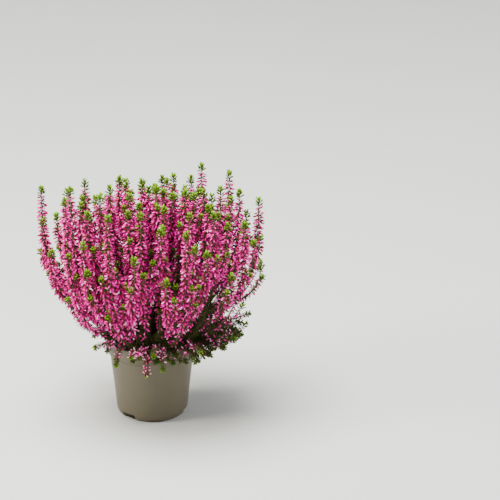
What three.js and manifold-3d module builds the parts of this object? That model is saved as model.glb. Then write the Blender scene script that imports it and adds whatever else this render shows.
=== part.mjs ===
// A winter heather in a 13 cm nursery pot: a thin-walled plastic pot, a plug of peat, eleven woody stems that
// stand in holes in the peat and fork into leafy shoots, and the pink flower spikes round those shoots.
// Millimetres, +Z up. The origin is on the pot's axis, on the surface that the pot stands on.
import * as THREE from "three";
import { mergeVertices } from "three/addons/utils/BufferGeometryUtils.js";
import Module from "manifold-3d";

const wasm = await Module();
wasm.setup();

// ---------------------------------------------------------------- driving dimensions

const POT_HEIGHT = 110;
const RIM_RADIUS = 65;
const WALL = 1.1; // plastic thickness
const SHOULDER_Z = 86; // top of the plain wall, where it steps out to the rim band
const SHOULDER_RADIUS = 56.3;
const STEP = { out: 4.3, up: 4.6 };
const FOOT_RADIUS = 42;
const HEEL_Z = 8; // the rounded heel between the foot ring and the wall
const HEEL_RADIUS = 47.4;
const FOOT_RING_WIDTH = 3;
const FLOOR_Z = 5.4; // the pot's floor stands this far above the foot ring
const POT_SIDES = 30;
const NOTCH_AZIMUTHS = [-47, 73, 193]; // drain notches in the foot, degrees from the front
const NOTCH_WIDTH = 21;
const NOTCH_HEIGHT = 3.6;

const SOIL_TOP = 97;
const SOIL_SIDES = 14;
const STEM_DEPTH = 24; // how far a stem goes down into its hole
const GAP = 0.35; // clearance between neighbouring pieces
const FINEST = 0.25; // smaller steps in a surface are left out

const STEM_RADIUS = 2.3;
const STEM_SIDES = 4;
const SHOOT_RADIUS = 1.1;
const SHOOT_SIDES = 3;
const SPREAD = 146; // radius of the outermost shoots
const TOP = 322; // height of the flower spikes in the middle of the bush
const LEAN = 20; // how much lower the spikes on the right stand, and higher those on the left
const LOW_SIDE = { azimuth: -145, drop: 66 }; // and how much lower those at the back left

const SPIKE_BASE = 8; // radius of a flower spike where it starts
const FLORET_REACH = 9; // radius of a flower spike at its florets' mouths
const BUD_REACH = 6.5; // and at the buds on top
const WHORL_PITCH = 14; // distance between whorls of florets
const WHORL_TURN = 68; // degrees that each whorl is turned from the one below
const TWIG_LENGTH = 48; // short flowering twigs low on the flank shoots

const LEAF_REACH = 5.5;
const LEAF_RINGS = [0.25, 0.6]; // shares of a bare stretch
const TUFT_LENGTH = 14; // the bright young leaves past the end of the flowers
const TUFT_RINGS = [{ share: 0.3, reach: 4.2 }, { share: 1, reach: 5.4 }];
const TUFT_HEART = 0.6; // how far up the hollow between the topmost leaves is
const NECK = 1.5; // bare length between the flowers and the young leaves
const FORK_GAP = 10; // distance between the first flowers of a leader and of its side shoot
const SKIRT_FORK = { gap: 5.5, step: 3 }; // nearer, and that much further out, on the drooping shoots
const FORK_SPLAY = 0.5; // tangent of the angle at which a side shoot leaves its leader

// Rings of shoots from the middle outwards. The shoots come in sprays: a leader, and side shoots that fork from it.
// share: of the spread; sprays: round the ring; inner: on the middle stems; from: the share of a leader below its
// flowers; steps: bends in the flowering part; twigs: which sprays have a low flowering twig.
const RINGS = [
  { name: "crown", share: 0.1, sprays: 1, phase: 47, inner: true, from: 0.5, steps: 1 },
  { name: "heart", share: 0.28, sprays: 3, phase: 74, inner: true, from: 0.5, steps: 1 },
  { name: "inner", share: 0.46, sprays: 4, phase: -5, inner: true, from: 0.5, steps: 1 },
  { name: "middle", share: 0.64, sprays: 5, phase: -9, inner: false, from: 0.47, steps: 2 },
  { name: "outer", share: 0.82, sprays: 7, phase: 17, inner: false, from: 0.54, steps: 2 },
  { name: "flank", share: 1, sprays: 9, phase: -1, inner: false, from: 0.37, steps: 2, twigs: [1, 2, 3, 4, 5] },
  { name: "skirt", share: 0.56, sprays: 5, phase: 0, inner: false, from: 0.6, steps: 2 },
];
// Degrees by which a spray is bent aside, clear of its neighbours.
const NUDGES = {
  flank_04: -6,
  flank_07: 1,
  flank_08: 10,
  heart_01: -5,
  heart_02: 6,
  heart_03: 2,
  inner_03: -2,
  middle_01: 5,
  middle_02: -8,
  middle_03: -6,
  outer_03: -1,
};
// shoots that droop over the rim, and the heights of their ends
const SKIRT = [[-33, 103], [-5, 88], [9, 104], [42, 102], [153, 94]];
const SKIRT_FAN = -8; // degrees from each to its side shoot
const INNER_STEMS = 3;
const OUTER_STEMS = 8;

const COLOURS = {
  pot: { color: 0x7d7566, roughness: 0.55 },
  soil: { color: 0x2b2019, roughness: 0.95 },
  leafy: { color: 0x4f7a1c, roughness: 0.6 },
  flowers: { color: 0xdd4b93, roughness: 0.6 },
};

// ---------------------------------------------------------------- helpers

const radians = THREE.MathUtils.degToRad;
const lerp = THREE.MathUtils.lerp;

// A repeatable draw from -1 to 1 for the pair of numbers a, b.
function jitter(a, b) {
  const s = Math.sin(a * 12.9898 + b * 78.233) * 43758.5453;
  return 2 * (s - Math.floor(s)) - 1;
}

// The point at that azimuth (degrees from the front, -Y, turning towards +X), radius and height.
function polar(azimuth, radius, z) {
  const a = radians(azimuth);
  return new THREE.Vector3(radius * Math.sin(a), -radius * Math.cos(a), z);
}

function solidOf(geometry) {
  const bare = new THREE.BufferGeometry().setAttribute("position", geometry.getAttribute("position"));
  if (geometry.index) bare.setIndex(geometry.index);
  const merged = mergeVertices(bare, 1e-4);
  return new wasm.Manifold(
    new wasm.Mesh({
      numProp: 3,
      vertProperties: new Float32Array(merged.attributes.position.array),
      triVerts: new Uint32Array(merged.index.array),
    }),
  );
}

function geometryOf(solid) {
  const mesh = solid.getMesh();
  const geometry = new THREE.BufferGeometry();
  geometry.setAttribute("position", new THREE.BufferAttribute(new Float32Array(mesh.vertProperties), 3));
  geometry.setIndex(new THREE.BufferAttribute(new Uint32Array(mesh.triVerts), 1));
  geometry.computeVertexNormals();
  return geometry;
}

function unionOf(solids) {
  return solids.reduce((sum, next) => sum.add(next));
}

// The largest body of a solid, without the crumbs that a cut left or the hollows that a union closed in.
function whole(solid) {
  return solid.decompose().sort((a, b) => b.volume() - a.volume())[0];
}

// A frame at each point of a path: the point, and three directions: along the path and twice across it. side lies
// across the shoot's own upright plane, so the frames of one path never twist.
function framesAlong(points, side) {
  return points.map((point, i) => {
    const before = points[Math.max(i - 1, 0)];
    const after = points[Math.min(i + 1, points.length - 1)];
    const along = after.clone().sub(before).normalize();
    const u = side.clone().addScaledVector(along, -side.dot(along)).normalize();
    return { point, along, u, v: along.clone().cross(u) };
  });
}

// A ring of three or more vertices round a path.
function ring({ point, u, v }, sides, radius, turn = 0) {
  return Array.from({ length: sides }, (_, j) => {
    const angle = (2 * Math.PI * j) / sides + turn;
    return point.clone().addScaledVector(u, radius * Math.cos(angle)).addScaledVector(v, radius * Math.sin(angle));
  });
}

// Triangles between two rings of as many vertices. Each vertex is joined to those of the other ring that lie in
// nearly the same direction from the middle. So where each ring is turned from the one before, every vertex stands
// out by itself.
function stitch(a, b) {
  const [fromA, fromB] = [a, b].map((vertices) => {
    const middle = vertices.reduce((sum, vertex) => sum.add(vertex), new THREE.Vector3()).divideScalar(vertices.length);
    return vertices.map((vertex) => vertex.clone().sub(middle).normalize());
  });
  const alike = fromB.map((direction) => direction.dot(fromA[0]));
  const near = alike.indexOf(Math.max(...alike));
  const faces = [];
  for (let j = 0; j < a.length; j++) {
    const k = (j + 1) % a.length;
    const [p, q] = [(near + j) % b.length, (near + k) % b.length];
    if (fromA[k].dot(fromB[p]) > fromA[j].dot(fromB[q])) faces.push([a[j], a[k], b[p]], [a[k], b[q], b[p]]);
    else faces.push([a[j], a[k], b[q]], [a[j], b[q], b[p]]);
  }
  return faces;
}

// A closed body skinned over rings: a sleeve, whose last ring joins its first, or a rod with a point past each end.
function skin(rings, startCap, endCap) {
  const faces = [];
  for (let i = 1; i < rings.length; i++) faces.push(...stitch(rings[i - 1], rings[i]));
  const [first, last] = [rings[0], rings[rings.length - 1]];
  if (!startCap) faces.push(...stitch(last, first));
  else {
    first.forEach((vertex, j) => faces.push([startCap, first[(j + 1) % first.length], vertex]));
    last.forEach((vertex, j) => faces.push([endCap, vertex, last[(j + 1) % last.length]]));
  }
  const positions = faces.flat().flatMap((vertex) => vertex.toArray());
  const geometry = new THREE.BufferGeometry();
  geometry.setAttribute("position", new THREE.Float32BufferAttribute(positions, 3));
  return solidOf(geometry);
}

// A plain rod along a path, with flat ends.
function rod(points, side, radius, sides) {
  const rings = framesAlong(points, side).map((frame) => ring(frame, sides, radius));
  return skin(rings, points[0], points[points.length - 1]);
}

// Points that cut each stretch of a path into equal parts of about the pitch.
function divided(points, pitch) {
  const out = [points[0]];
  for (let i = 1; i < points.length; i++) {
    const parts = Math.round(points[i].distanceTo(points[i - 1]) / pitch);
    for (let k = 1; k <= parts; k++) out.push(points[i - 1].clone().lerp(points[i], k / parts));
  }
  return out;
}

// ---------------------------------------------------------------- pot and soil

function potSolid() {
  const outside = [
    [FOOT_RADIUS - FOOT_RING_WIDTH, 0],
    [FOOT_RADIUS, 0],
    [FOOT_RADIUS + 2.9, 2.6],
    [HEEL_RADIUS, HEEL_Z],
    [SHOULDER_RADIUS, SHOULDER_Z],
    [SHOULDER_RADIUS + STEP.out, SHOULDER_Z + STEP.up],
    [RIM_RADIUS - 0.5, POT_HEIGHT - 1.2],
    [RIM_RADIUS, POT_HEIGHT],
  ];
  const inside = [
    [RIM_RADIUS - WALL - 0.5, POT_HEIGHT],
    [SHOULDER_RADIUS + STEP.out - WALL, SHOULDER_Z + STEP.up + 1],
    [SHOULDER_RADIUS - WALL, SHOULDER_Z + 1],
    [HEEL_RADIUS - WALL, HEEL_Z + 0.5],
    [FOOT_RADIUS - 0.5, FLOOR_Z],
    [0, FLOOR_Z],
    [0, FLOOR_Z - WALL],
    [FOOT_RADIUS - FOOT_RING_WIDTH, FLOOR_Z - WALL],
  ];
  const profile = [...outside, ...inside, outside[0]].map(([r, z]) => new THREE.Vector2(r, z));
  const pot = new THREE.LatheGeometry(profile, POT_SIDES).rotateX(Math.PI / 2);
  const notches = NOTCH_AZIMUTHS.map((azimuth) => {
    const cut = new THREE.BoxGeometry(NOTCH_WIDTH, 12, 2 * NOTCH_HEIGHT);
    cut.rotateZ(radians(azimuth));
    cut.translate(...polar(azimuth, FOOT_RADIUS, 0).toArray());
    return solidOf(cut);
  });
  return notches.reduce((cut, notch) => cut.subtract(notch), solidOf(pot));
}

function soilSolid(stems) {
  const bottom = FLOOR_Z + GAP;
  const slope = (SHOULDER_RADIUS - HEEL_RADIUS) / (SHOULDER_Z - HEEL_Z);
  const wallAt = (z) => HEEL_RADIUS + slope * (z - HEEL_Z) - WALL - 2 * GAP;
  const profile = [
    [0, bottom],
    [FOOT_RADIUS - 2, bottom],
    [wallAt(HEEL_Z + 2), HEEL_Z + 2],
    [wallAt(SHOULDER_Z), SHOULDER_Z],
    [wallAt(SHOULDER_Z) + 3, SOIL_TOP - 2],
    [SHOULDER_RADIUS * 0.8, SOIL_TOP - 1],
    [SHOULDER_RADIUS * 0.45, SOIL_TOP],
    [0, SOIL_TOP + 1],
  ].map(([r, z]) => new THREE.Vector2(r, z));
  const plug = new THREE.LatheGeometry(profile, SOIL_SIDES).rotateX(Math.PI / 2);
  const place = plug.getAttribute("position");
  for (let i = 0; i < place.count; i++) {
    const [x, y, z] = [place.getX(i), place.getY(i), place.getZ(i)];
    const crumb = Math.sin(x * 0.31 + 1) * Math.cos(y * 0.27);
    if (z > SOIL_TOP - 1.5 && Math.hypot(x, y) > 1) place.setZ(i, z + 1.2 * crumb);
  }
  const holes = stems.map((stem) =>
    rod([stem.foot.clone().setZ(stem.foot.z - GAP), stem.foot.clone().setZ(SOIL_TOP + 6)],
      stem.side, STEM_RADIUS + 2 * GAP, STEM_SIDES),
  );
  return holes.reduce((cut, hole) => cut.subtract(hole), solidOf(plug));
}

// ---------------------------------------------------------------- the plant's framework

function makeStem(inner, number, count) {
  const azimuth = (360 * (number + 0.5)) / count;
  return {
    inner,
    azimuth,
    side: polar(azimuth + 90, 1, 0),
    foot: polar(azimuth, inner ? 9 : 27, SOIL_TOP - STEM_DEPTH),
    collar: polar(azimuth, inner ? 9 : 27, SOIL_TOP + 5),
    fork: inner ? polar(azimuth, 10, SOIL_TOP + 34) : polar(azimuth, 33, SOIL_TOP + 16),
    sprays: [],
  };
}

function sprayName(ring, number) {
  return `${ring.name}_${String(number + 1).padStart(2, "0")}`;
}

// Where a shoot of a ring ends: azimuth, radius and height. The middle shoot of each three is the leader and stands
// tallest. The one before it ends lower and further out, and the one after it further in.
function tipOf(ring, ringNumber, number) {
  const seed = 31 * ringNumber + number;
  const place = (number % 3) - 1;
  const spray = Math.floor(number / 3);
  if (ring.name === "skirt") {
    const [middle, end] = SKIRT[spray];
    const azimuth = middle - place * SKIRT_FAN;
    return place === 0
      ? { azimuth, radius: 86 + 4 * jitter(seed, 2), z: end + 3 * jitter(seed, 3) }
      : { azimuth, radius: 112 + 6 * jitter(seed, 2), z: 126 + 5 * jitter(seed, 3) };
  }
  const bent = NUDGES[sprayName(ring, spray)] ?? 0;
  const azimuth = ring.phase + bent + (120 / ring.sprays) * (number + 0.5 + 0.16 * jitter(seed, 1));
  const radius = SPREAD * ring.share - 5 * place + 2 * jitter(seed, 2);
  const drop = [1, 0, 0.5][place + 1] * lerp(12, 74, ring.share ** 3);
  const lean = LEAN * ring.share * Math.sin(radians(azimuth));
  const low = LOW_SIDE.drop * ring.share * Math.max(0, Math.cos(radians(azimuth - LOW_SIDE.azimuth))) ** 2;
  const z = TOP - 16 * ring.share ** 2 - drop - lean - low + 10 * jitter(seed, 3);
  return { azimuth, radius: Math.min(radius, SPREAD), z };
}

function leaderCurve(stem, ring, tip) {
  const middle = stem.azimuth + 0.6 * (((tip.azimuth - stem.azimuth + 540) % 360) - 180);
  const forkRadius = Math.hypot(stem.fork.x, stem.fork.y);
  const end = polar(tip.azimuth, tip.radius, tip.z);
  if (ring.name === "skirt") {
    return new THREE.CubicBezierCurve3(stem.fork, polar(middle, 58, 136), polar(tip.azimuth, 84, 125), end);
  }
  const first = polar(middle, lerp(forkRadius, tip.radius, 0.24), stem.fork.z + 14 + 40 * (1 - ring.share));
  const second = polar(tip.azimuth, tip.radius, 110 + 150 * (1 - ring.share ** 1.5));
  return new THREE.CubicBezierCurve3(stem.fork, first, second, end);
}

// A side shoot flowers from beside the first flowers of its leader, and bends away from it at once.
function sideCurve(leader, ring, tip) {
  const way = leader.getTangent(ring.from);
  const end = polar(tip.azimuth, tip.radius, tip.z);
  const apart = end.clone().sub(leader.getPoint(ring.from));
  apart.addScaledVector(way, -apart.dot(way)).normalize();
  const { gap, step } = ring.name === "skirt" ? SKIRT_FORK : { gap: FORK_GAP, step: 0 };
  const start = leader.getPoint(ring.from).addScaledVector(apart, gap).addScaledVector(way, step);
  const far = end.distanceTo(start);
  const first = start.clone().addScaledVector(way.addScaledVector(apart, FORK_SPLAY).normalize(), 0.35 * far);
  const second =
    ring.name === "skirt"
      ? polar(tip.azimuth, tip.radius - 0.4 * far, tip.z + 2)
      : end.clone().setZ(tip.z - 0.45 * far);
  return new THREE.CubicBezierCurve3(start, first, second, end);
}

// A shoot: the corners of its path to the end of its flowers, which of them its flowers start at, and its neck,
// where the young leaves past the flowers start.
function makeShoot(bare, curve, from, steps, azimuth) {
  const flowering = Array.from({ length: steps + 1 }, (_, i) => curve.getPoint(lerp(from, 1, i / steps)));
  const way = curve.getTangent(1);
  const neck = flowering[steps].clone().addScaledVector(way, NECK);
  const side = polar(azimuth + 90, 1, 0);
  return { corners: [...bare, ...flowering], start: bare.length, neck, way, side };
}

// A low twig that stands out level from the first flowers of its leader. Its root is beside the leader's own rod.
function twigPath(curve, from, { azimuth }) {
  const out = polar(azimuth - 6, 1, 0);
  const root = curve.getPoint(from).addScaledVector(out, 2 * SHOOT_RADIUS + GAP);
  const bend = root.clone().addScaledVector(out, TWIG_LENGTH * 0.5).setZ(root.z - 3);
  const end = root.clone().addScaledVector(out, TWIG_LENGTH).setZ(root.z + 3);
  return { points: [root, bend, end], side: polar(azimuth + 90, 1, 0) };
}

function makeSpray(stem, ring, ringNumber, number) {
  const [before, tip, after] = [0, 1, 2].map((place) => tipOf(ring, ringNumber, 3 * number + place));
  const curve = leaderCurve(stem, ring, tip);
  const bend = curve.getPoint(ring.from * 0.5);
  const start = curve.getPoint(ring.from);
  const sides = ring.name === "skirt" ? [before] : [before, after];
  return {
    name: sprayName(ring, number),
    shoots: [
      makeShoot([stem.fork, bend], curve, ring.from, ring.steps, tip.azimuth),
      ...sides.map((side, i) => {
        const root = bend.clone().lerp(start, 0.6 - 0.3 * i);
        return makeShoot([root], sideCurve(curve, ring, side), 0, ring.steps, side.azimuth);
      }),
    ],
    twig: ring.twigs?.includes(number) ? twigPath(curve, ring.from, tip) : null,
  };
}

function makeSprays(stems) {
  const turn = (stem, azimuth) => Math.abs(((stem.azimuth - azimuth + 540) % 360) - 180);
  return RINGS.flatMap((ring, ringNumber) =>
    Array.from({ length: ring.sprays }, (_, i) => {
      const { azimuth } = tipOf(ring, ringNumber, 3 * i + 1);
      const near = stems.filter((stem) => stem.inner === ring.inner);
      const stem = near.sort((a, b) => turn(a, azimuth) - turn(b, azimuth))[0];
      const spray = makeSpray(stem, ring, ringNumber, i);
      stem.sprays.push(spray);
      return spray;
    }),
  );
}

// ---------------------------------------------------------------- leafy shoots and flower spikes

function shootFrames(shoot) {
  return framesAlong([...shoot.corners, shoot.neck], shoot.side);
}

function shootRings(shoot, radius) {
  return shootFrames(shoot).map((frame) => ring(frame, SHOOT_SIDES, radius));
}

// A shoot's own rod, with needle leaves on its bare part and the upright young leaves at its end.
function leafyShoot(shoot) {
  const rings = shootRings(shoot, SHOOT_RADIUS);
  const last = shootFrames(shoot).pop();
  TUFT_RINGS.forEach(({ share, reach }, i) => {
    const point = shoot.neck.clone().addScaledVector(shoot.way, share * TUFT_LENGTH);
    rings.push(ring({ ...last, point }, SHOOT_SIDES, reach, radians(WHORL_TURN * (i + 1))));
  });
  if (shoot.start === 2) {
    const [from, to] = shoot.corners.slice(1, 3);
    const frames = framesAlong([from, ...LEAF_RINGS.map((share) => from.clone().lerp(to, share)), to], shoot.side);
    const leaves = frames.slice(1, -1).map((frame, i) => ring(frame, SHOOT_SIDES, LEAF_REACH, radians(WHORL_TURN * (i + 1))));
    rings.splice(2, 0, ...leaves);
  }
  return skin(rings, shoot.corners[0], shoot.neck.clone().addScaledVector(shoot.way, TUFT_HEART * TUFT_LENGTH));
}

function leafySolid(stem) {
  const trunk = rod([stem.foot, stem.collar, stem.fork], stem.side, STEM_RADIUS, STEM_SIDES);
  return unionOf([trunk, ...stem.sprays.flatMap(({ shoots }) => shoots.map(leafyShoot))]);
}

// Whorls of florets along a path, each turned against the one below.
function whorls(points, side) {
  const frames = framesAlong(divided(points, WHORL_PITCH), side);
  return frames.map((frame, i) => {
    const reach = i === frames.length - 1 ? BUD_REACH : FLORET_REACH;
    return ring(frame, SHOOT_SIDES, reach, radians(WHORL_TURN * i));
  });
}

// A sleeve of florets round the flowering part of a shoot, clear of the shoot itself.
function spike(shoot) {
  const florets = whorls(shoot.corners.slice(shoot.start), shoot.side);
  florets[0] = ring(shootFrames(shoot)[shoot.start], SHOOT_SIDES, SPIKE_BASE);
  const bore = shootRings(shoot, SHOOT_RADIUS + 2 * GAP).slice(shoot.start, -1);
  return skin([...florets, ...bore.reverse()]);
}

function twigSolid({ points, side }) {
  const rings = whorls(points, side);
  rings[0] = ring(framesAlong(points, side)[0], SHOOT_SIDES, SPIKE_BASE * 0.45);
  return skin(rings, points[0], points[2]);
}

function flowerSolid({ shoots, twig }) {
  const bores = shoots.map((shoot) => skin(shootRings(shoot, SHOOT_RADIUS + 2 * GAP), shoot.corners[0], shoot.neck));
  const florets = shoots.map((shoot, i) => {
    const others = bores.filter((_, j) => j !== i);
    return others.reduce((cut, bore) => cut.subtract(bore), spike(shoot));
  });
  if (twig) florets.push(bores.reduce((cut, bore) => cut.subtract(bore), twigSolid(twig)));
  return unionOf(florets);
}

// ---------------------------------------------------------------- the assembly

const heather = new THREE.Group();

function addPiece(name, solid, colours) {
  const geometry = geometryOf(whole(solid.simplify(FINEST)));
  const mesh = new THREE.Mesh(geometry, new THREE.MeshStandardMaterial({ ...colours, metalness: 0 }));
  mesh.name = name;
  heather.add(mesh);
}

const stems = [
  ...Array.from({ length: INNER_STEMS }, (_, i) => makeStem(true, i, INNER_STEMS)),
  ...Array.from({ length: OUTER_STEMS }, (_, i) => makeStem(false, i, OUTER_STEMS)),
];
const sprays = makeSprays(stems);

addPiece("pot", potSolid(), COLOURS.pot);
addPiece("soil", soilSolid(stems), COLOURS.soil);
stems.forEach((stem, i) => addPiece(`leafy_stem_${String(i + 1).padStart(2, "0")}`, leafySolid(stem), COLOURS.leafy));
sprays.forEach((spray) => addPiece(`flowers_${spray.name}`, flowerSolid(spray), COLOURS.flowers));

export default heather;
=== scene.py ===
# A potted winter heather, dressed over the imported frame: bells, needle leaves and twigs on the same stems and shoots
# as the frame's solids, fine peat, and the moulded pot. Plant sizes are in millimetres, and meshes are in metres.
import math

import bpy
import numpy as np
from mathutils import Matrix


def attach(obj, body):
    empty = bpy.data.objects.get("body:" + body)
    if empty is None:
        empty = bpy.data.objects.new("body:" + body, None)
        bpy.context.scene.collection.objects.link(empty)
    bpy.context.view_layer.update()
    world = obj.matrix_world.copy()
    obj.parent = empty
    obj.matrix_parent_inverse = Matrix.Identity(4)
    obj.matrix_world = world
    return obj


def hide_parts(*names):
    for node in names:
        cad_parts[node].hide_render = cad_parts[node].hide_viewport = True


MM = 0.001

# ---------------------------------------------------------------- sizes, as in the frame's solids

SOIL_TOP = 97
STEM_DEPTH = 24  # of a main stem's foot in the soil
STEM_RADIUS = 2.3
SHOOT_RADIUS = 1.1
INNER_STEMS = 3
INNER_RING = 9  # radius on which they stand
OUTER_STEMS = 8
OUTER_RING = 27
SPREAD = 146  # radius of the bush
TOP = 322  # height of the crown's spikes
LEAN = 20  # the left flank ends this much higher, and the right this much lower
LOW_SIDE = (-145, 66)  # azimuth of the low side, and how much lower its spikes end
NECK = 1.5  # between the flowers and the tuft
TUFT_LENGTH = 14
FORK_GAP = 10  # between a leader and its side shoots
FORK_SPLAY = 0.5
TWIG_LENGTH = 48
# name, share of the spread, sprays, phase, on the middle stems, share of a leader below its flowers
RINGS = [
    ("crown", 0.1, 1, 47, True, 0.5),
    ("heart", 0.28, 3, 74, True, 0.5),
    ("inner", 0.46, 4, -5, True, 0.5),
    ("middle", 0.64, 5, -9, False, 0.47),
    ("outer", 0.82, 7, 17, False, 0.54),
    ("flank", 1, 9, -1, False, 0.37),
    ("skirt", 0.56, 5, 0, False, 0.6),
]
# degrees by which a spray is turned from its even place
NUDGES = {
    "flank_04": -6,
    "flank_07": 1,
    "flank_08": 10,
    "heart_01": -5,
    "heart_02": 6,
    "heart_03": 2,
    "inner_03": -2,
    "middle_01": 5,
    "middle_02": -8,
    "middle_03": -6,
    "outer_03": -1,
}
SKIRT = [(-33, 103), (-5, 88), (9, 104), (42, 102), (153, 94)]  # azimuth and end height of the drooping sprays
SKIRT_FAN = -8  # degrees between a drooping spray's shoots
TWIG_SPRAYS = [1, 2, 3, 4, 5]  # flank sprays with a level twig

# ---------------------------------------------------------------- places of what the scene adds

HANGING = "skirt_02"  # the drooping spray that hangs down the pot's front
RIGHT_STEMS = (67.5, 112.5)  # azimuths of the outer stems with the most twigs over the rim
NOTCHES = (-44, 76, 196)  # azimuths of the drain notches
# azimuth, radius and height of the ends of flowering twigs that close gaps between the spikes
FILL = [
    (80, 106, 212), (93, 110, 205), (105, 104, 214), (84, 120, 230), (97, 90, 198), (-82, 97, 204),
    (-93, 102, 196), (-102, 92, 216), (-118, 92, 243), (-128, 98, 240), (-146, 88, 248), (60, 56, 205),
    (89, 62, 214),
]  # fmt: skip

# ---------------------------------------------------------------- sizes of the fine pieces

WHORL_PITCH = 4.5  # between whorls of bells
BELLS = 6  # in a whorl
TWIG_BELLS = 5  # in a whorl on a twig or a drooping shoot
BELL_LENGTH = 7.2  # from the shoot to the bell's mouth
BELL_RADIUS = 1.3
NOD = (42, 20)  # degrees by which bells droop at the foot of a spike, and higher up
END_RISE = 38  # degrees by which the last bells of a spike are turned up from there
FADE_HEIGHTS = (215, 125)  # from the first down to the second, bells get smaller and more of them are faded
DROP_HEIGHTS = (205, 125)  # from the first down to the second, more of them have dropped
BARE = 0.72  # share of the bells that has dropped low in the bush
SKIRT_BARE = 0.7
HANGING_BARE = 0.1
PALE = 0.3  # how much further along the petals' colours the drooping and low bells are
LEAF_LENGTH = 5.6
LEAF_RADIUS = 0.55
LEAF_PITCH = 2.6  # between whorls of leaves
LEAFY_TWIGS = 13  # inside the bush, on each main stem
LOW_LEAF_PITCH = 1.9  # on the twigs over the rim
INSIDE_LEAF_PITCH = 3.6  # on the twigs inside the bush
SPIKE_LEAF_LENGTH = 5.0  # among the flowers
SPIKE_LEAF_PITCH = 4.2
YOUNG_LEAF_RADIUS = 1.4
YOUNG_LEAF_PITCH = 2.7
SOIL_RADIUS = 57
CRUMBS = 1500  # of peat on the soil
# the notch crumbs are in the darkest peat tone, which paints the shade inside the notches
NOTCH_SHADE_CRUMBS = 240  # of peat in each drain notch
NOTCH_HEIGHT = 9
NOTCH_EDGE = (12.2, 13.2)  # degrees from a notch's middle to where its edge starts and ends
TWIG_TUFT_LENGTH = 9
LEAFY_TUFT_LENGTH = 7  # on the dark leafy twigs
SKIRT_TUFT_LENGTH = 6

PLANT_SEED = 41
SOIL_SEED = 7
STEM_SEED = 100  # and one more for each stem
FLOWER_SEED = 200  # and one more for each spray

# places along the foliage's colours, of wood and of a stretch's first and last leaves
TRUNK_TINT = 0.15
WOOD_TINT = 0.17
TWIG_TINT = 0.2
LEAF_TINT = (0.3, 0.42)
LOW_LEAF_TINT = (0.2, 0.35)
SPIKE_LEAF_TINT = (0.3, 0.45)
TUFT_TINT = (0.55, 0.9)
LOW_TUFT_TINT = (0.5, 0.8)

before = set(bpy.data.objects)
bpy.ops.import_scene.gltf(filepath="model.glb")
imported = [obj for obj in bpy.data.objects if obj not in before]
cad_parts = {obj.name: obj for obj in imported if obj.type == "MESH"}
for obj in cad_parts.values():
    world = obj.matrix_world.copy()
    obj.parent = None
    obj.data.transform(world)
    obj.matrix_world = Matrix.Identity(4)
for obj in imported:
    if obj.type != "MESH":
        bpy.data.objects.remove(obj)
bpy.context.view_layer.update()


# ---------------------------------------------------------------- helpers


def jitter(a, b):
    s = math.sin(a * 12.9898 + b * 78.233) * 43758.5453
    return 2 * (s - math.floor(s)) - 1


def polar(azimuth, radius, z):
    a = math.radians(azimuth)
    return np.array([radius * math.sin(a), -radius * math.cos(a), z])


def azimuth_of(points):
    return np.degrees(np.arctan2(points[..., 0], -points[..., 1]))


def turn_between(azimuth, other):
    """The signed angle from one azimuth to another, in degrees."""
    return (other - azimuth + 540) % 360 - 180


def unit(v):
    return v / np.linalg.norm(v, axis=-1, keepdims=True)


def lerp(a, b, t):
    return a + (b - a) * t


def smooth(low, high, x):
    t = np.clip((np.asarray(x, float) - low) / (high - low), 0, 1)
    return t * t * (3 - 2 * t)


def bezier(a, b, c, d, t):
    t = np.asarray(t, float)[:, None]
    return (1 - t) ** 3 * a + 3 * (1 - t) ** 2 * t * b + 3 * (1 - t) * t**2 * c + t**3 * d


def point_on(curve, t):
    return bezier(*curve, [t])[0]


def way_on(curve, t):
    a, b, c, d = curve
    return unit((1 - t) ** 2 * (b - a) + 2 * (1 - t) * t * (c - b) + t**2 * (d - c))


class Path:
    """A smooth line through points, read by the length along it. way is where it points at its end, and side lies
    across its own upright plane."""

    def __init__(self, points, side):
        self.points = np.array(points, float)
        steps = np.linalg.norm(np.diff(self.points, axis=0), axis=1)
        self.marks = np.concatenate([[0], np.cumsum(steps)])
        self.length = self.marks[-1]
        self.way = unit(self.points[-1] - self.points[-2])
        self.side = side

    def at(self, s):
        return np.stack([np.interp(s, self.marks, self.points[:, k]) for k in range(3)], -1)

    def frames(self, s):
        s = np.asarray(s, float)
        along = unit(self.at(np.minimum(s + 1, self.length)) - self.at(np.maximum(s - 1, 0)))
        u = unit(self.side - along * (along @ self.side)[:, None])
        return self.at(s), along, u, np.cross(along, u)


def arch(azimuth, *ends, count=24):
    """A path along the curve through four points, in the upright plane at an azimuth."""
    return Path(bezier(*ends, np.linspace(0, 1, count)), polar(azimuth + 90, 1, 0))


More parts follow.
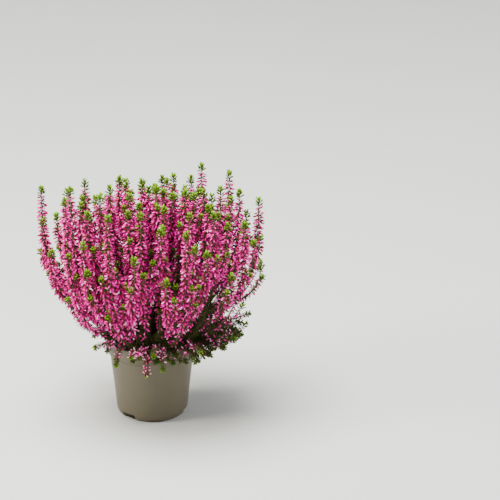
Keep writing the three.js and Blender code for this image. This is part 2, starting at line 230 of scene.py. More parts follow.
class Heap:
    """Triangles gathered into one mesh, each corner with a tint that its material turns into a colour."""

    def __init__(self):
        self.points, self.faces, self.tints, self.count = [], [], [], 0

    def add(self, points, faces, tints):
        self.points.append(points)
        self.faces.append(faces + self.count)
        self.tints.append(tints)
        self.count += len(points)

    def copies(self, template, at, x, y, z, tint, contrast=None):
        """Copies of a template at each point. x, y and z are each copy's own axes, with their lengths in them, and
        contrast is how strongly the template's own shades show."""
        shape, faces, shade = template
        points = at[:, None] + (shape[None, :, 0:1] * x[:, None] + shape[None, :, 1:2] * y[:, None])
        points = (points + shape[None, :, 2:3] * z[:, None]).reshape(-1, 3)
        starts = np.arange(len(at))[:, None, None] * len(shape)
        contrast = np.ones(len(at)) if contrast is None else contrast
        self.add(points, (faces[None] + starts).reshape(-1, 3), (tint[:, None] + shade * contrast[:, None]).ravel())

    def mesh(self, name):
        points = np.concatenate(self.points) * MM
        faces = np.concatenate(self.faces)
        mesh = bpy.data.meshes.new(name)
        mesh.vertices.add(len(points))
        mesh.vertices.foreach_set("co", points.astype(np.float32).ravel())
        mesh.loops.add(faces.size)
        mesh.loops.foreach_set("vertex_index", faces.astype(np.int32).ravel())
        mesh.polygons.add(len(faces))
        mesh.polygons.foreach_set("loop_start", np.arange(0, faces.size, 3, dtype=np.int32))
        mesh.polygons.foreach_set("use_smooth", np.ones(len(faces), bool))
        tint = mesh.attributes.new("tint", "FLOAT", "POINT")
        tint.data.foreach_set("value", np.concatenate(self.tints).astype(np.float32))
        mesh.update(calc_edges=True)
        mesh.validate()
        return mesh


def skin(rings, sides):
    """The triangles between rings of points, each of so many sides."""
    i, j = np.meshgrid(np.arange(rings - 1), np.arange(sides), indexing="ij")
    a, b = i * sides + j, i * sides + (j + 1) % sides
    return np.stack([np.stack([a, b, b + sides], -1), np.stack([a, b + sides, a + sides], -1)], 2).reshape(-1, 3)


def turned(rings, sides, last, shades, flat=False, start=None):
    """A template: rings of (radius, height) round the Z axis and a point past the last one, with their shades. It is
    open at the first ring, unless it is flat there or has a start, the shade of a point at the origin."""
    points = []
    for radius, height in rings:
        for j in range(sides):
            angle = 2 * math.pi * j / sides
            points.append((radius * math.cos(angle), radius * math.sin(angle), height))
    shade = list(np.repeat(shades[:-1], sides))
    tip, base = len(points), (len(rings) - 1) * sides
    points.append((0, 0, last))
    shade.append(shades[-1])
    faces = [*skin(len(rings), sides)]
    faces += [(base + j, base + (j + 1) % sides, tip) for j in range(sides)]
    if flat:
        faces += [(0, j + 1, j) for j in range(1, sides - 1)]
    if start is not None:
        points.append((0, 0, 0))
        shade.append(start)
        faces += [((j + 1) % sides, j, tip + 1) for j in range(sides)]
    return np.array(points, float), np.array(faces), np.array(shade, float)


# A bell lies along its own Z from its olive stalk to its mouth. Its shades are partly its own colours, the olive stalk
# and the paler mouth, and partly painted light: the dark base paints the shade near the shoot, and the bright mouth is
# a painted highlight.
BELL = turned([(0.28, 0), (1.0, 0.52), (0.6, 1.0)], 4, last=1.05, shades=[-0.5, 0.0, 0.2, 0.1])
LEAF = turned([(0.9, 0.35)], 3, last=1.0, shades=[0.0, 0.06], start=-0.08)
YOUNG_LEAF = turned([(0.75, 0.3), (1.0, 0.78)], 4, last=1.0, shades=[-0.1, 0.03, 0.16], start=-0.3)
CRUMB = turned([(0.8, -0.5), (1.0, 0.2)], 5, last=0.8, shades=[0, 0, 0.1], flat=True)


def across(z, along):
    """Two axes across each z, the first of them level with the shoot."""
    x = unit(np.cross(along, z))
    return x, np.cross(z, x)


def tube(heap, points, radii, side, sides, tint):
    """A round stem along points, closed at both ends, with one tint or one for each point."""
    path = Path(points, side)
    at, _, u, v = path.frames(path.marks)
    angles = 2 * math.pi * np.arange(sides) / sides
    circle = np.cos(angles)[None, :, None] * u[:, None] + np.sin(angles)[None, :, None] * v[:, None]
    points = (at[:, None] + circle * np.asarray(radii)[:, None, None]).reshape(-1, 3)
    n = len(at)
    last = (n - 1) * sides
    ends = [(0, k + 1, k) for k in range(1, sides - 1)] + [(last, last + k, last + k + 1) for k in range(1, sides - 1)]
    heap.add(points, np.concatenate([skin(n, sides), ends]), np.repeat(np.broadcast_to(tint, n), sides))


# ---------------------------------------------------------------- bells and leaves


def leaves(heap, path, start, end, pitch, count, length, radius, lean, tint, rng, shape=LEAF):
    """Whorls of needle leaves along a path from start to end. lean, their angle from the shoot in degrees, and tint
    are pairs, for the first whorl and the last."""
    n = max(2, round((end - start) / pitch))
    s = np.repeat(start + (np.arange(n) + 0.5) * (end - start) / n, count) + rng.normal(0, 0.3, n * count)
    s = np.clip(s, 0, path.length)
    share = np.repeat((np.arange(n) + 0.5) / n, count)
    turn = np.tile(np.arange(count) / count, n) + np.repeat(0.5 * np.arange(n) / count, count)
    angle = 2 * math.pi * (turn + rng.normal(0, 0.03, n * count))
    at, along, u, v = path.frames(s)
    out = np.cos(angle)[:, None] * u + np.sin(angle)[:, None] * v
    slant = np.radians(lerp(lean[0], lean[1], share) + rng.normal(0, 6, len(s)))
    z = unit(np.cos(slant)[:, None] * along + np.sin(slant)[:, None] * out)
    x, y = across(z, along)
    low = 1 + (0.35 * smooth(170, 120, at[:, 2]) if shape is LEAF else 0)  # needles are bigger low in the bush
    size = length * low * (1 + rng.normal(0, 0.09, len(s)))
    wide = radius * low * (1 + rng.normal(0, 0.08, len(s)))
    tints = lerp(tint[0], tint[1], share) + rng.normal(0, 0.05, len(s))
    heap.copies(shape, at + out * 0.7, x * wide[:, None], y * wide[:, None] * 0.7, z * size[:, None], tints)


def bells(heap, path, rng, count=BELLS, pale=0.0, bare=BARE):
    """Whorls of nodding bells along the flowering part of a shoot, turned up a little at its end. Low in the bush they
    are smaller, more of them are faded, and up to the share bare of them has dropped."""
    n = max(3, round(path.length / WHORL_PITCH))
    total = n * count
    whorl = np.repeat(np.arange(n), count)
    s = (whorl + 0.5) * path.length / n + rng.normal(0, 0.8, total)
    share = np.clip(s / path.length, 0, 1)
    at, along, u, v = path.frames(np.clip(s, 0.5, path.length - 0.5))
    turn = np.tile(np.arange(count) / count, n) + np.repeat(rng.uniform(0, 1, n), count)
    angle = 2 * math.pi * (turn + rng.normal(0, 0.035, total))
    out = np.cos(angle)[:, None] * u + np.sin(angle)[:, None] * v
    nod = lerp(*NOD, smooth(0.0, 0.8, share)) - END_RISE * smooth(0.9, 1, share)
    nod = np.radians(nod + rng.normal(0, 11, total))
    down = -along * 0.6 + np.array([0, 0, -0.4])
    down = unit(down - out * np.sum(down * out, -1, keepdims=True))
    z = unit(np.cos(nod)[:, None] * out + np.sin(nod)[:, None] * down)
    x, y = across(z, along)
    height = at[:, 2] - 0.3 * at[:, 0]  # the photo's right side is barer
    deep = smooth(*FADE_HEIGHTS, height)
    grown = (1 - 0.25 * smooth(0.92, 1, share)) * (1 - 0.22 * deep) * (1 + rng.normal(0, 0.07, total))
    wide = (BELL_RADIUS * grown)[:, None]
    tints = 0.44 + rng.normal(0, 0.19, total) + pale
    faded = rng.uniform(0, 1, total) < 0.03 + 0.12 * deep
    tints = np.where(faded, 0.97, tints)
    kept = rng.uniform(0, 1, total) > bare * smooth(*DROP_HEIGHTS, height)
    long = (BELL_LENGTH * grown)[:, None]
    # A contrast above 1 deepens the painted shade at the bells' bases and brightens the painted highlight at their
    # mouths. It is stronger low in the bush, where the mouths are also paler of their own.
    parts = at + out * 0.6, x * wide, y * wide, z * long, tints, 1.25 + 0.6 * deep
    heap.copies(BELL, *(part[kept] for part in parts))


def tuft(heap, stalk, gap, rng, tint, length):
    """The young leaves at a gap past the end of a stalk's path."""
    start, way = stalk.points[-1] + stalk.way * gap, stalk.way
    path = Path([start, start + way * length * 0.35, start + way * length * 0.62], stalk.side)
    tube(heap, path.points, [1.0, 0.8, 0.5], path.side, 4, tint[0])
    leaf, lean = 3.6 + 0.23 * length, (70, 12)
    leaves(heap, path, 0, path.length, YOUNG_LEAF_PITCH, 5, leaf, YOUNG_LEAF_RADIUS, lean, tint, rng, YOUNG_LEAF)


# ---------------------------------------------------------------- the plant's framework, as in the frame's solids


def make_stem(inner, number, count):
    """A main stem of the inner or the outer ring, with no shoots yet."""
    azimuth = 360 * (number + 0.5) / count
    radius = INNER_RING if inner else OUTER_RING
    return {
        "inner": inner,
        "azimuth": azimuth,
        "side": polar(azimuth + 90, 1, 0),
        "foot": polar(azimuth, radius, SOIL_TOP - STEM_DEPTH),
        "collar": polar(azimuth, radius, SOIL_TOP + 5),
        "fork": polar(azimuth, 10, SOIL_TOP + 34) if inner else polar(azimuth, 33, SOIL_TOP + 16),
        "shoots": [],
        "twigs": [],
        "extras": [],
        "filled": False,
    }


def tip_of(ring, ring_number, number):
    """The azimuth, radius and height of a shoot's end. The middle one of a spray's three numbers is its leader."""
    name, share, sprays, phase = ring[:4]
    seed = 31 * ring_number + number
    place = number % 3 - 1
    spray = number // 3
    if name == "skirt":
        middle, end = SKIRT[spray]
        azimuth = middle - place * SKIRT_FAN
        if place == 0:
            return azimuth, 86 + 4 * jitter(seed, 2), end + 3 * jitter(seed, 3)
        return azimuth, 112 + 6 * jitter(seed, 2), 126 + 5 * jitter(seed, 3)
    nudge = NUDGES.get(f"{name}_{spray + 1:02d}", 0)
    azimuth = phase + nudge + (120 / sprays) * (number + 0.5 + 0.16 * jitter(seed, 1))
    radius = SPREAD * share - 5 * place + 2 * jitter(seed, 2)
    drop = (1, 0, 0.5)[place + 1] * lerp(12, 74, share**3)
    lean = LEAN * share * math.sin(math.radians(azimuth))
    low = LOW_SIDE[1] * share * max(0, math.cos(math.radians(azimuth - LOW_SIDE[0]))) ** 2
    z = TOP - 16 * share**2 - drop - lean - low + 10 * jitter(seed, 3)
    return azimuth, min(radius, SPREAD), z


def leader_curve(stem, ring, tip):
    name, share = ring[:2]
    azimuth, radius, z = tip
    middle = stem["azimuth"] + 0.6 * turn_between(stem["azimuth"], azimuth)
    fork = stem["fork"]
    end = polar(azimuth, radius, z)
    if name == "skirt":
        return fork, polar(middle, 58, 136), polar(azimuth, 84, 125), end
    first = polar(middle, lerp(math.hypot(fork[0], fork[1]), radius, 0.24), fork[2] + 14 + 40 * (1 - share))
    return fork, first, polar(azimuth, radius, 110 + 150 * (1 - share**1.5)), end


def side_curve(leader, ring, tip):
    name, start_share = ring[0], ring[5]
    azimuth, radius, z = tip
    way = way_on(leader, start_share)
    end = polar(azimuth, radius, z)
    apart = end - point_on(leader, start_share)
    apart = unit(apart - way * (apart @ way))
    gap, step = (5.5, 3) if name == "skirt" else (FORK_GAP, 0)
    start = point_on(leader, start_share) + apart * gap + way * step
    far = np.linalg.norm(end - start)
    first = start + unit(way + apart * FORK_SPLAY) * 0.35 * far
    second = polar(azimuth, radius - 0.4 * far, z + 2) if name == "skirt" else end - [0, 0, 0.45 * far]
    return start, first, second, end


def make_spray(stem, ring, ring_number, number):
    """The spray's shoots, each with a bare path and a flowering one, low if they droop. Some flank sprays have a level
    twig too."""
    before, tip, after = (tip_of(ring, ring_number, 3 * number + place) for place in range(3))
    start = ring[5]
    leader = leader_curve(stem, ring, tip)
    side = polar(tip[0] + 90, 1, 0)
    bare, flowering = (Path(bezier(*leader, t), side) for t in (np.linspace(0, start, 14), np.linspace(start, 1, 40)))
    low = ring[0] == "skirt"
    shoots = [{"bare": bare, "flowering": flowering, "leader": True, "low": low}]
    for i, other in enumerate([before] if low else [before, after]):
        curve = side_curve(leader, ring, other)
        root_share = start * (0.8 - 0.15 * i)
        root, way = point_on(leader, root_share), way_on(leader, root_share)
        reach = np.linalg.norm(curve[0] - root) * 0.4
        bend = root, root + way * reach, curve[0] - way_on(curve, 0) * reach, curve[0]
        bare, flowering = arch(other[0], *bend, count=8), arch(other[0], *curve, count=40)
        shoots.append({"bare": bare, "flowering": flowering, "leader": False, "low": low})
    twig = None
    if ring[0] == "flank" and number in TWIG_SPRAYS:
        out = polar(tip[0] - 6, 1, 0)
        root = point_on(leader, start)
        ends = [root, root + out * TWIG_LENGTH * 0.5 - [0, 0, 3], root + out * TWIG_LENGTH + [0, 0, 3]]
        handle = 2 * ends[1] - 0.5 * (ends[0] + ends[2])  # so that the curve passes through the middle one
        t = np.linspace(0, 1, 12)[:, None]
        twig = Path(ends[0] * (1 - t) ** 2 + 2 * (1 - t) * t * handle + ends[2] * t**2, side)
    return {"name": f"{ring[0]}_{number + 1:02d}", "ring": ring[0], "shoots": shoots, "twig": twig, "extras": []}


def add_twig(stem, spray, path, bloom, pitch=LEAF_PITCH, pale=0.0, leaf=LEAF_TINT, tip=(TUFT_TINT, TWIG_TUFT_LENGTH)):
    """A twig past those of the solids. bloom is the share of it below its flowers, pitch is between its whorls of
    leaves, leaf is their tint, and tip is its tuft's tint and length."""
    twig = {"path": path, "bloom": bloom, "pitch": pitch, "pale": pale, "leaf": leaf, "tip": tip}
    stem["extras"].append(twig)
    spray["extras"].append(twig)


def add_laterals(stem, spray, rng):
    """Short flowering twigs that leave a spike at a steep angle and run up beside it."""
    low, high, count = {"flank": (0.04, 0.55, 2), "outer": (0.1, 0.5, 1)}.get(spray["ring"], (0.2, 0.6, 1))
    for shoot in spray["shoots"]:
        parent = shoot["flowering"]
        for i in range(count):
            s = parent.length * lerp(low, high, (i + rng.uniform(0.2, 0.8)) / count)
            at, along = (v[0] for v in parent.frames([s])[:2])
            azimuth = azimuth_of(at) + rng.uniform(-75, 75)
            out = polar(azimuth, 1, 0)
            length = rng.uniform(42, 60)
            rise = unit(along + [0, 0, 0.6])
            end = at + rise * length * 0.86 + out * rng.uniform(11, 15)
            end[:2] *= min(1, SPREAD / math.hypot(end[0], end[1]))
            ends = at, at + along * 8 + out * 7, end - rise * length * 0.4, end
            add_twig(stem, spray, arch(azimuth, *ends, count=20), 0.22)


def add_risers(stem, spray, rng):
    """Flowering twigs that rise over the drooping ones and close the bush above the rim."""
    parent = spray["shoots"][0]["bare"]
    for turn in (-8, 7):
        at, along = (v[0] for v in parent.frames([parent.length * 0.55])[:2])
        azimuth = azimuth_of(at) + turn
        end = polar(azimuth, rng.uniform(84, 98), rng.uniform(186, 214))
        add_twig(stem, spray, arch(azimuth, at, at + along * 25, polar(azimuth, 88, 150), end), 0.3)


def add_low_twigs(stem, spray, rng):
    """Dark leafy twigs that lie over the rim, longest and closest on the right and few at the front left, some with a
    few pale bells near the end. One longer twig stands out at the right."""
    seen = abs(turn_between(45, stem["azimuth"])) < 95
    step = 2 if stem["azimuth"] in RIGHT_STEMS else 3 if seen else 6
    for turn in range(-20, 22, step):
        azimuth = stem["azimuth"] + turn + rng.uniform(-3, 3)
        if 266 < azimuth < 338 and turn not in (-11, 10):
            continue
        right = max(0, math.sin(math.radians(azimuth)))
        reach = rng.uniform(0, 1) ** (1 - 0.6 * right)
        radius = 68 + 12 * reach + 40 * right * reach
        z = rng.uniform(102, 114) - 4 * right + 18 * right * reach**2
        start = lerp(stem["collar"], stem["fork"], rng.uniform(0.4, 0.9))
        over = polar(azimuth, 48, 132 + rng.uniform(-4, 6)), polar(azimuth, radius - 16, 124 - 12 * right)
        path = arch(azimuth, start, *over, polar(azimuth, radius, z))
        bloom = rng.choice([0.7, 0.76, 1.0])
        tip = (0.32, 0.54), LEAFY_TUFT_LENGTH
        add_twig(stem, spray, path, bloom, LOW_LEAF_PITCH, PALE, LOW_LEAF_TINT, tip)
    if stem["azimuth"] == RIGHT_STEMS[0]:
        ends = polar(84, 50, 122), polar(88, 96, 98), polar(88, 122, 122)
        path = arch(88, lerp(stem["collar"], stem["fork"], 0.8), *ends, count=30)
        tip = (0.55, 0.85), TWIG_TUFT_LENGTH
        add_twig(stem, spray, path, 0.62, LOW_LEAF_PITCH, PALE, LEAF_TINT, tip)


def add_leafy_twigs(stem, spray, rng):
    """Dark leafy twigs without bells, which fill the inside of the bush."""
    for _ in range(LEAFY_TWIGS):
        azimuth = stem["azimuth"] + rng.uniform(-24, 24)
        radius = rng.uniform(12, 60) if stem["inner"] else rng.uniform(40, 104)
        z = rng.uniform(190, 278) - 0.45 * radius
        start = lerp(stem["collar"], stem["fork"], rng.uniform(0.3, 0.95))
        ends = polar(azimuth, 0.6 * radius, 132), polar(azimuth, radius, z - 45), polar(azimuth, radius, z)
        tip = (0.4, 0.58), LEAFY_TUFT_LENGTH
        add_twig(stem, spray, arch(azimuth, start, *ends), 1, INSIDE_LEAF_PITCH, tip=tip)


def add_fill(stem, spray):
    """The flowering twigs of FILL that are nearest to this outer stem."""
    for azimuth, radius, z in FILL:
        if not stem["inner"] and abs(turn_between(azimuth, stem["azimuth"])) < 180 / OUTER_STEMS:
            start = lerp(stem["collar"], stem["fork"], 0.7)
            ends = polar(azimuth, 0.6 * radius, 132), polar(azimuth, radius, z - 50), polar(azimuth, radius, z)
            add_twig(stem, spray, arch(azimuth, start, *ends, count=30), 0.36)


def make_plant():
    """The main stems and the sprays, each spray on its nearest stem, with the twigs that each stem gets once."""
    stems = [make_stem(True, i, INNER_STEMS) for i in range(INNER_STEMS)]
    stems += [make_stem(False, i, OUTER_STEMS) for i in range(OUTER_STEMS)]
    sprays = []
    rng = np.random.default_rng(PLANT_SEED)
    for ring_number, ring in enumerate(RINGS):
        for number in range(ring[2]):
            azimuth = tip_of(ring, ring_number, 3 * number + 1)[0]
            near = [stem for stem in stems if stem["inner"] == ring[4]]
            stem = min(near, key=lambda stem: abs(turn_between(azimuth, stem["azimuth"])))
            spray = make_spray(stem, ring, ring_number, number)
            stem["shoots"] += spray["shoots"]
            if spray["twig"]:
                stem["twigs"].append(spray["twig"])
            if ring[0] == "skirt":
                add_risers(stem, spray, rng)
            else:
                add_laterals(stem, spray, rng)
            if ring[0] in ("heart", "flank") and not stem["filled"]:
                if ring[0] == "flank":
                    add_low_twigs(stem, spray, rng)
                add_leafy_twigs(stem, spray, rng)
                add_fill(stem, spray)
                stem["filled"] = True
            sprays.append(spray)
    return stems, sprays


# ---------------------------------------------------------------- materials


def colour_of(code):
    """A colour as a picture shows it, in Blender's linear values."""
    parts = [int(code[i : i + 2], 16) / 255 for i in (0, 2, 4)]
    return [c / 12.92 if c <= 0.04045 else ((c + 0.055) / 1.055) ** 2.4 for c in parts] + [1]


class Nodes:
    """A material's node tree, with short calls for what the materials here share."""

    def __init__(self, name):
        self.material = bpy.data.materials.new(name)
        self.material.use_nodes = True
        self.tree = self.material.node_tree
        self.shader = self.tree.nodes["Principled BSDF"]

    def new(self, kind, **values):
        node = self.tree.nodes.new(kind)
        for key, value in values.items():
            if hasattr(node, key):
                setattr(node, key, value)
            else:
                node.inputs[key].default_value = value
        return node

    def link(self, a, b):
        self.tree.links.new(a, b)

    def noise(self, scale, detail=3):
        where = self.new("ShaderNodeTexCoord")
        noise = self.new("ShaderNodeTexNoise", Scale=scale, Detail=detail, Roughness=0.55)
        self.link(where.outputs["Object"], noise.inputs["Vector"])
        return noise.outputs["Fac"]

    def math(self, operation, a, b):
        node = self.new("ShaderNodeMath", operation=operation)
        for socket, value in zip(node.inputs, (a, b)):
            if isinstance(value, (int, float)):
                socket.default_value = value
            else:
                self.link(value, socket)
        return node.outputs[0]

    def ramp(self, source, stops):
        node = self.new("ShaderNodeValToRGB")
        elements = node.color_ramp.elements
        while len(elements) < len(stops):
            elements.new(0.5)
        for element, (place, colour) in zip(elements, stops):
            element.position = place
            element.color = colour
        self.link(source, node.inputs["Fac"])
        return node.outputs["Color"]

    def bump(self, height, distance, strength=1.0):
        node = self.new("ShaderNodeBump", Strength=strength, Distance=distance)
        self.link(height, node.inputs["Height"])
        self.link(node.outputs["Normal"], self.shader.inputs["Normal"])

    def rough(self, source, low, high):
        node = self.new("ShaderNodeMapRange")
        node.inputs["To Min"].default_value = low
        node.inputs["To Max"].default_value = high
        self.link(source, node.inputs["Value"])
        self.link(node.outputs["Result"], self.shader.inputs["Roughness"])


def tinted(name, stops, spread, fine, broad):
    """A material whose colour runs along stops by the mesh's own tint, a fine noise and a broad one. spread is how far
    each noise moves it."""
    nodes = Nodes(name)
    tint = nodes.new("ShaderNodeAttribute", attribute_name="tint").outputs["Fac"]
    patches = nodes.math("ADD", nodes.math("MULTIPLY", nodes.noise(fine), spread), tint)
    patches = nodes.math("ADD", patches, nodes.math("MULTIPLY", nodes.noise(broad, 2), spread))
    tone = nodes.math("SUBTRACT", patches, spread)
    nodes.link(nodes.ramp(tone, stops), nodes.shader.inputs["Base Color"])
    return nodes


def petal_material():
    """From the bells' olive stalks, whose darkest end also paints the shade at the bells' bases, to the pale pink of
    faded ones.
    """
    stops = [
        (0.0, (0.035, 0.035, 0.012, 1)),
        (0.18, (0.07, 0.05, 0.02, 1)),
        (0.34, (0.2, 0.02, 0.05, 1)),
        (0.55, (0.56, 0.006, 0.2, 1)),
        (0.78, (1.0, 0.006, 0.43, 1)),
        (0.92, (1.0, 0.05, 0.53, 1)),
        (1.0, (1.0, 0.44, 0.7, 1)),
    ]
    nodes = tinted("heather_petals", stops, 0.22, 900, 30)
    nodes.shader.inputs["Roughness"].default_value = 0.65
    nodes.shader.inputs["Specular IOR Level"].default_value = 0.06
    nodes.bump(nodes.noise(2200, 2), 0.0002, 0.4)
    return nodes.material


def foliage_material():
    """From the stalks' olive and the wood's brown to dark leaves and bright young ones."""
    stops = [
        (0.0, (0.17, 0.14, 0.07, 1)),
        (0.12, (0.05, 0.034, 0.02, 1)),
        (0.22, (0.07, 0.05, 0.025, 1)),
        (0.4, (0.035, 0.05, 0.008, 1)),
        (0.65, (0.065, 0.115, 0.006, 1)),
        (0.85, (0.11, 0.24, 0.002, 1)),
        (1.0, (0.23, 0.42, 0.002, 1)),
    ]
    nodes = tinted("heather_foliage", stops, 0.16, 700, 25)
    nodes.shader.inputs["Roughness"].default_value = 0.5
    nodes.shader.inputs["Specular IOR Level"].default_value = 0.12
    nodes.bump(nodes.noise(1500, 3), 0.0003, 0.5)
    return nodes.material


def peat_material():
    nodes = Nodes("moist_peat")
    tint = nodes.new("ShaderNodeAttribute", attribute_name="tint").outputs["Fac"]
    tone = nodes.math("ADD", nodes.math("MULTIPLY", nodes.noise(350, 6), 0.8), tint)
    stops = [(0.2, colour_of("1c1410")), (0.55, colour_of("3a2a1f")), (0.95, colour_of("6b4f38"))]
    nodes.link(nodes.ramp(tone, stops), nodes.shader.inputs["Base Color"])
    nodes.rough(nodes.noise(120), 0.75, 1.0)
    nodes.bump(nodes.noise(900, 5), 0.0012)
    return nodes.material


def pot_material():
    nodes = Nodes("taupe_pot_plastic")
    stops = [(0.3, (0.083, 0.071, 0.044, 1)), (0.7, (0.094, 0.08, 0.051, 1))]
    nodes.link(nodes.ramp(nodes.noise(18, 6), stops), nodes.shader.inputs["Base Color"])
    nodes.rough(nodes.noise(60, 4), 0.42, 0.6)
    nodes.shader.inputs["Specular IOR Level"].default_value = 0.35
    nodes.bump(nodes.noise(1800, 3), 0.0002, 0.35)
    return nodes.material


def floor_material():
    nodes = Nodes("pale_floor")
    stops = [(0.3, (0.535, 0.55, 0.53, 1)), (0.7, (0.555, 0.57, 0.55, 1))]
    nodes.link(nodes.ramp(nodes.noise(2), stops), nodes.shader.inputs["Base Color"])
    nodes.shader.inputs["Roughness"].default_value = 0.9
    return nodes.material


# ---------------------------------------------------------------- pieces


def add_piece(mesh, material, slot, *nodes):
    """The mesh as a piece of the visual model, instead of those nodes of the frame."""
    mesh.materials.append(material)
    piece = bpy.data.objects.new(mesh.name, mesh)
    bpy.context.scene.collection.objects.link(piece)
    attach(piece, "root")
    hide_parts(*nodes)
    return piece


def flower_piece(spray, material, seed):
    """All bells of a spray, with those of its twigs."""
    rng = np.random.default_rng(seed)
    heap = Heap()
    for shoot in spray["shoots"]:
        path = shoot["flowering"]
        if spray["name"] == HANGING:
            neck = path.points[-1] + path.way * NECK
            path = Path([*path.points, neck + path.way * 4], path.side)
            bells(heap, path, rng, TWIG_BELLS, PALE, HANGING_BARE)
        elif shoot["low"]:
            bells(heap, path, rng, TWIG_BELLS, PALE, SKIRT_BARE)
        else:
            bells(heap, path, rng, pale=rng.normal(0, 0.04))
    if spray["twig"]:
        bells(heap, spray["twig"], rng, pale=0.1)
    for twig in spray["extras"]:
        path = twig["path"]
        if twig["bloom"] < 1:
            flowering = Path(path.at(np.linspace(path.length * twig["bloom"], path.length, 20)), path.side)
            bells(heap, flowering, rng, TWIG_BELLS, twig["pale"])
    return add_piece(heap.mesh("bells_" + spray["name"]), material, "petals", "flowers_" + spray["name"])


def stem_piece(stem, number, material, seed):
    """A main stem with its shoots and twigs, their leaves and their tufts."""
    rng = np.random.default_rng(seed)
    heap = Heap()
    n = 12
    middle = lerp(stem["collar"], stem["fork"], 0.4)
    trunk = bezier(stem["foot"], stem["collar"], middle, stem["fork"], np.linspace(0, 1, n))
    radii = STEM_RADIUS * np.linspace(1.15, 0.8, n) * (1 + rng.normal(0, 0.04, n))
    tube(heap, trunk, radii, stem["side"], 7, TRUNK_TINT)
    for shoot in stem["shoots"]:
        path = shoot["bare"]
        tube(heap, path.points, np.linspace(1.5, SHOOT_RADIUS, len(path.points)), path.side, 5, WOOD_TINT)
        flowering = shoot["flowering"]
        line = flowering.points[::3]
        n = len(line)
        tube(heap, line, np.linspace(SHOOT_RADIUS, 0.8, n), flowering.side, 4, np.linspace(0.12, -0.1, n))
        if shoot["leader"]:
            start, lean = 0.15 * path.length, (60, 45)
            leaves(heap, path, start, path.length, LEAF_PITCH, 4, LEAF_LENGTH, LEAF_RADIUS, lean, LEAF_TINT, rng)
        pitch, radius = (2.4, LEAF_RADIUS) if shoot["low"] else (SPIKE_LEAF_PITCH, 0.42)
        lean, tint = (62, 42), (0.3, 0.56)
        leaves(heap, flowering, 0, flowering.length, pitch, 5, SPIKE_LEAF_LENGTH, radius, lean, tint, rng)
        tip = (LOW_TUFT_TINT, SKIRT_TUFT_LENGTH) if shoot["low"] else (TUFT_TINT, TUFT_LENGTH)
        tuft(heap, flowering, NECK, rng, *tip)
    for path in stem["twigs"]:
        tube(heap, path.points, np.linspace(1, 0.7, len(path.points)), path.side, 4, TWIG_TINT)
        leaves(heap, path, 0, path.length, LEAF_PITCH, 5, LEAF_LENGTH, LEAF_RADIUS, (60, 40), (0.3, 0.48), rng)
        tuft(heap, path, 0, rng, LOW_TUFT_TINT, 8)
    for twig in stem["extras"]:
        path = twig["path"]
        line = path.points[::2]
        n = len(line)
        olive = 0.3 * smooth(0.5, 1, np.linspace(0, 1, n)) * (twig["bloom"] < 1)
        tube(heap, line, np.linspace(1.1, 0.7, n), path.side, 4, TWIG_TINT - olive)
        bloom = path.length * twig["bloom"]
        leaves(heap, path, 3, bloom, twig["pitch"], 5, LEAF_LENGTH, LEAF_RADIUS, (62, 45), twig["leaf"], rng)
        if bloom < path.length - 5:
            pitch, lean = SPIKE_LEAF_PITCH, (60, 40)
            leaves(heap, path, bloom, path.length, pitch, 5, SPIKE_LEAF_LENGTH, 0.5, lean, SPIKE_LEAF_TINT, rng)
        tuft(heap, path, 0, rng, *twig["tip"])
    return add_piece(heap.mesh(f"shoots_{number:02d}"), material, "foliage", f"leafy_stem_{number:02d}")


def pot_piece(material):
    """The moulded pot: its wall turned in one line from under the foot ring up over the rim and down to the floor."""
    line = [
        (0, 6.2), (30, 6.2), (38.6, 6.2), (39, 5.8), (39, 0.4), (39.3, 0.05), (40.5, 0), (41.6, 0.05), (42, 0.4),
        (42.8, 1.3), (44.7, 2.6), (46.2, 4.4), (47.1, 6.6), (47.6, 9), (47.75, 10.2), (49.4, 26),
        (51.6, 47), (53.9, 66), (56.0, 84.6), (56.3, 86), (56.9, 86.9), (57.8, 87.7), (59.4, 89.2), (60.2, 90),
        (60.6, 91), (62.0, 97), (63.5, 104), (64.3, 108.4), (65.0, 108.9), (65.0, 109.7), (64.6, 110), (63.9, 110),
        (63.3, 109.6), (62.4, 106), (60.6, 97), (59.3, 92), (58.6, 91), (56.2, 88.8), (55.2, 87.4), (54.6, 84),
        (52.5, 66), (48.2, 26), (46.4, 12), (45.2, 8.4), (42, 7.3), (37.6, 7.3), (36.4, 7.3), (20, 7.3), (0, 7.3),
    ]  # fmt: skip
    sides = 192
    heap = Heap()
    points = np.array([polar(360 * j / sides, r, z) for r, z in line for j in range(sides)])
    ring = np.repeat(np.arange(len(line)), sides)
    radius = np.hypot(points[:, 0], points[:, 1])
    outside = (ring < 16) & (radius > 38.8)  # the foot ring and the heel's outer face
    inside = (ring > 31) & (radius > 37) & (points[:, 2] < 8.6)  # the edge of the floor
    azimuth = azimuth_of(points)
    for notch in NOTCHES:
        lift = NOTCH_HEIGHT * (1 - smooth(*NOTCH_EDGE, abs(turn_between(notch, azimuth))))
        points[outside, 2] = np.maximum(points[outside, 2], lift[outside])
        points[inside, 2] = np.maximum(points[inside, 2], (1.15 * lift)[inside])
    heap.add(points, skin(len(line), sides), np.zeros(len(points)))
    return add_piece(heap.mesh("nursery_pot"), material, "pot_plastic", "pot")


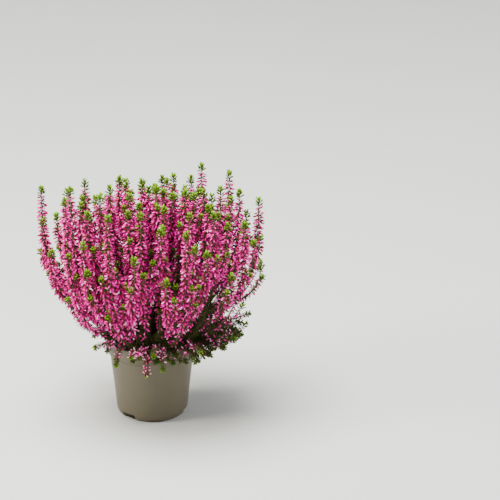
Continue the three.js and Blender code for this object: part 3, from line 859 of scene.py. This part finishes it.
def soil_piece(material, seed):
    """The plug of peat, slightly domed and uneven on top, with crumbs on it, and crumbs in the drain notches in the
    darkest peat tone, which paints the shade inside them.
    """
    rng = np.random.default_rng(seed)
    heap = Heap()
    rings, sides = 30, 90
    top = []
    for i in range(rings + 1):
        for j in range(sides):
            radius = SOIL_RADIUS * (i / rings) ** 0.8
            wave = 1.2 * math.sin(radius * 0.31 + 1) * math.cos(j * 1.08)
            z = SOIL_TOP - 3.2 * (radius / SOIL_RADIUS) ** 2 + wave
            z = min(z + rng.normal(0, 0.5), SOIL_TOP + 1.5)
            top.append(polar(360 * j / sides, radius + (rng.normal(0, 0.4) if i < rings else 0), z))
    below = ((53.5, 86), (45, 14), (36.4, 10.8), (34, 7.7), (0.01, 7.7))
    points = np.array(top + [polar(360 * j / sides, radius, z) for radius, z in below for j in range(sides)])
    faces = skin(rings + 1 + len(below), sides)[:, ::-1]  # turned over, as the rings run from the top's middle down
    heap.add(points, faces, np.zeros(len(points)))
    radius = (SOIL_RADIUS - 3) * np.sqrt(rng.uniform(0, 1, CRUMBS))
    angle = rng.uniform(0, 2 * math.pi, CRUMBS)
    height = SOIL_TOP - 3 * (radius / SOIL_RADIUS) ** 2 + 0.3
    at = np.stack([radius * np.cos(angle), radius * np.sin(angle), height], -1)
    z = unit(rng.normal(0, 1, (CRUMBS, 3)) + [0, 0, 1.5])
    x, y = across(z, unit(rng.normal(0, 1, (CRUMBS, 3))))
    size = rng.uniform(0.5, 1.6, CRUMBS)[:, None]
    heap.copies(CRUMB, at, x * size, y * size * 0.8, z * size, rng.uniform(0, 0.25, CRUMBS))
    n = NOTCH_SHADE_CRUMBS
    for notch in NOTCHES:
        places = ((notch + rng.uniform(-11, 11), rng.uniform(38, 41.5), rng.uniform(1.5, 7.4)) for _ in range(n))
        at = np.array([polar(*crumb) for crumb in places])
        size = rng.uniform(1.0, 1.5, n)[:, None]
        # the darkest peat tone paints the shade inside the notch
        heap.copies(CRUMB, at, x[:n] * size, y[:n] * size, z[:n] * size, np.full(n, -0.3))
    return add_piece(heap.mesh("peat"), material, "peat", "soil")


# ---------------------------------------------------------------- camera, floor and light, in metres

# name, place, aim, side of its square, power, colour
LIGHTS = [
    ("top", (-0.5, -0.1, 2.7), (0, 0, 0.1), 1.8, 274, (1, 0.99, 0.97)),
    ("left", (-2.45, -0.65, 1.4), (0, 0, 0.15), 1.0, 102, (1, 0.94, 0.8)),
    ("front", (0.5, -2.8, 0.6), (0, 0, 0.05), 0.8, 16, (1, 0.97, 0.97)),
    ("right", (2.3, 0.3, 1.0), (0, 0, 0.15), 1.0, 42, (0.97, 0.985, 1)),
]
WORLD_STRENGTH = 0.34
LENS = 265.9
EYE = (0, -4.56773, 2.03368)
EYE_DOWN = 21.5388  # degrees below the level
EYE_RIGHT = 1.6541  # degrees to the right of the Y axis
FLOOR_HALF = 12  # half the floor's side


def camera():
    data = bpy.data.cameras.new("camera")
    data.lens = LENS
    data.sensor_width = 36
    data.clip_end = 50
    eye = bpy.data.objects.new("camera", data)
    eye.location = EYE
    eye.rotation_euler = (math.radians(90 - EYE_DOWN), 0, math.radians(-EYE_RIGHT))
    bpy.context.scene.collection.objects.link(eye)
    bpy.context.scene.camera = eye


def stage():
    mesh = bpy.data.meshes.new("floor")
    corners = [(x * FLOOR_HALF, y * FLOOR_HALF, 0) for x, y in ((-1, -1), (1, -1), (1, 1), (-1, 1))]
    mesh.from_pydata(corners, [], [(0, 1, 2, 3)])
    floor = bpy.data.objects.new("floor", mesh)
    mesh.materials.append(floor_material())
    bpy.context.scene.collection.objects.link(floor)


def area_light(name, spot, aim, size, power, colour):
    data = bpy.data.lights.new(name, "AREA")
    data.shape = "SQUARE"
    data.size = size
    data.energy = power
    data.color = colour
    light = bpy.data.objects.new(name, data)
    light.location = spot
    ray = np.array(aim, float) - np.array(spot, float)
    light.rotation_euler = (math.atan2(math.hypot(ray[0], ray[1]), -ray[2]), 0, math.atan2(-ray[0], ray[1]))
    bpy.context.scene.collection.objects.link(light)


def lights():
    world = bpy.data.worlds.new("studio")
    world.use_nodes = True
    background = world.node_tree.nodes["Background"]
    background.inputs["Color"].default_value = (1, 1, 1, 1)
    background.inputs["Strength"].default_value = WORLD_STRENGTH
    bpy.context.scene.world = world
    for light in LIGHTS:
        area_light(*light)


camera()
stage()
lights()
petals, foliage = petal_material(), foliage_material()
stems, sprays = make_plant()
pot_piece(pot_material())
soil_piece(peat_material(), SOIL_SEED)
for number, stem in enumerate(stems):
    stem_piece(stem, number + 1, foliage, STEM_SEED + number)
for number, spray in enumerate(sprays):
    flower_piece(spray, petals, FLOWER_SEED + number)
